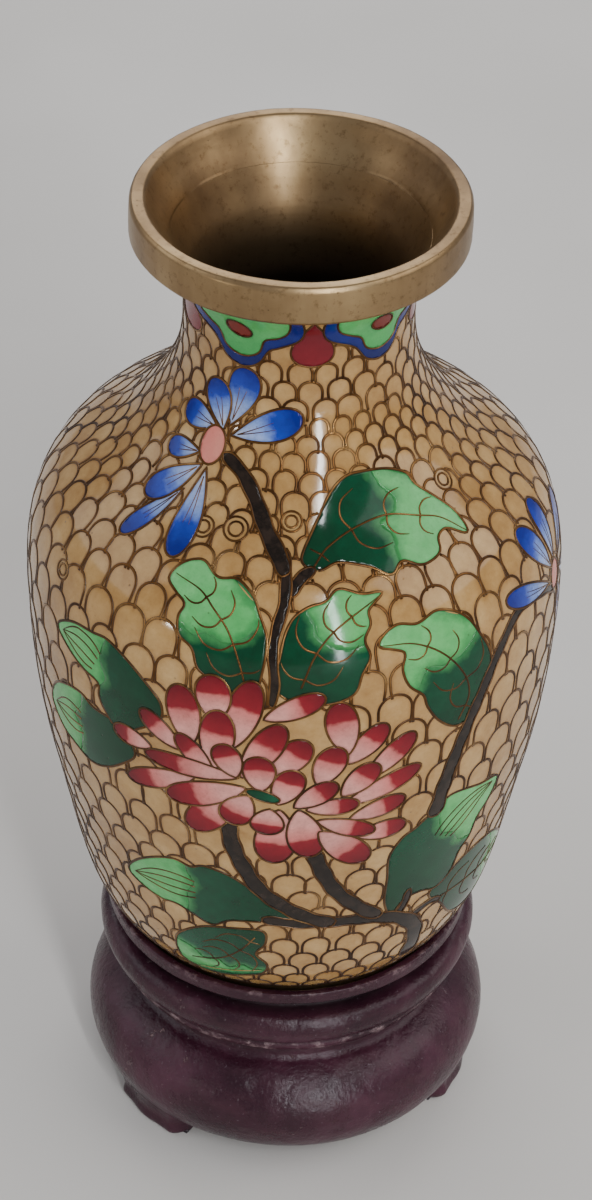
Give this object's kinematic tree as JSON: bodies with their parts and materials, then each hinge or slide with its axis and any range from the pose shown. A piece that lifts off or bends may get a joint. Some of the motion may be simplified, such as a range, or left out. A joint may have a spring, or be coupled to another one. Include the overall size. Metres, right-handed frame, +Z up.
{
  "type": "cloisonne vase",
  "caption": "Baluster cloisonne vase with a brass mouth and foot, flowers on a scale-pattern ground, standing in a turned wooden stand.",
  "frame": {"origin": "on the table plane, on the axis of the vase and stand", "axes": "+Z up along the axis; the side with the large flower faces -Y, +X is to a viewer's right"},
  "size_m": [0.0832, 0.0832, 0.172],
  "materials": {
    "stand_wood": "dark red-brown stained and lacquered, worn",
    "copper": "oxidised copper, hidden under the enamel",
    "brass": "aged, satin, dull patina",
    "lining_enamel": "thin plain counter-enamel",
    "ground_enamel": "polished glossy enamel, small pits",
    "flower_enamel": "polished enamel, pink to crimson",
    "dark_green_enamel": "polished enamel",
    "light_green_enamel": "polished enamel",
    "blue_enamel": "polished enamel, cobalt to white",
    "deep_blue_enamel": "polished enamel",
    "pink_enamel": "polished enamel",
    "red_enamel": "polished enamel",
    "branch_enamel": "polished enamel",
    "wire": "ground flush and polished, dark with age"
  },
  "bodies": {
    "stand": {"stand_body": "stand_wood", "stand_feet": "stand_wood"},
    "vase": {"belly_shell": "copper", "shoulder_shell": "copper", "neck_shell": "copper", "base_plate": "copper", "mouth_ring": "brass", "foot_ring": "brass", "inner_lining": "lining_enamel", "base_enamel": "lining_enamel", "ground_enamel": "ground_enamel", "flower_petals": "flower_enamel", "flower_eye": "dark_green_enamel", "flower_wires": "wire", "blossom_petals": "blue_enamel", "blossom_centres": "pink_enamel", "blossom_wires": "wire", "leaf_dark": "dark_green_enamel", "leaf_light": "light_green_enamel", "leaf_wires": "wire", "branches": "branch_enamel", "branch_wires": "wire", "lappet_borders": "deep_blue_enamel", "lappet_fields": "light_green_enamel", "lappet_ovals": "red_enamel", "lappet_drops": "red_enamel", "collar_wires": "wire"}
  },
  "joints": [
    {"name": "vase_lift", "type": "slide", "parent": "stand", "child": "vase", "axis": [0, 0, 1], "range_m": [0, 0.12]}
  ]
}
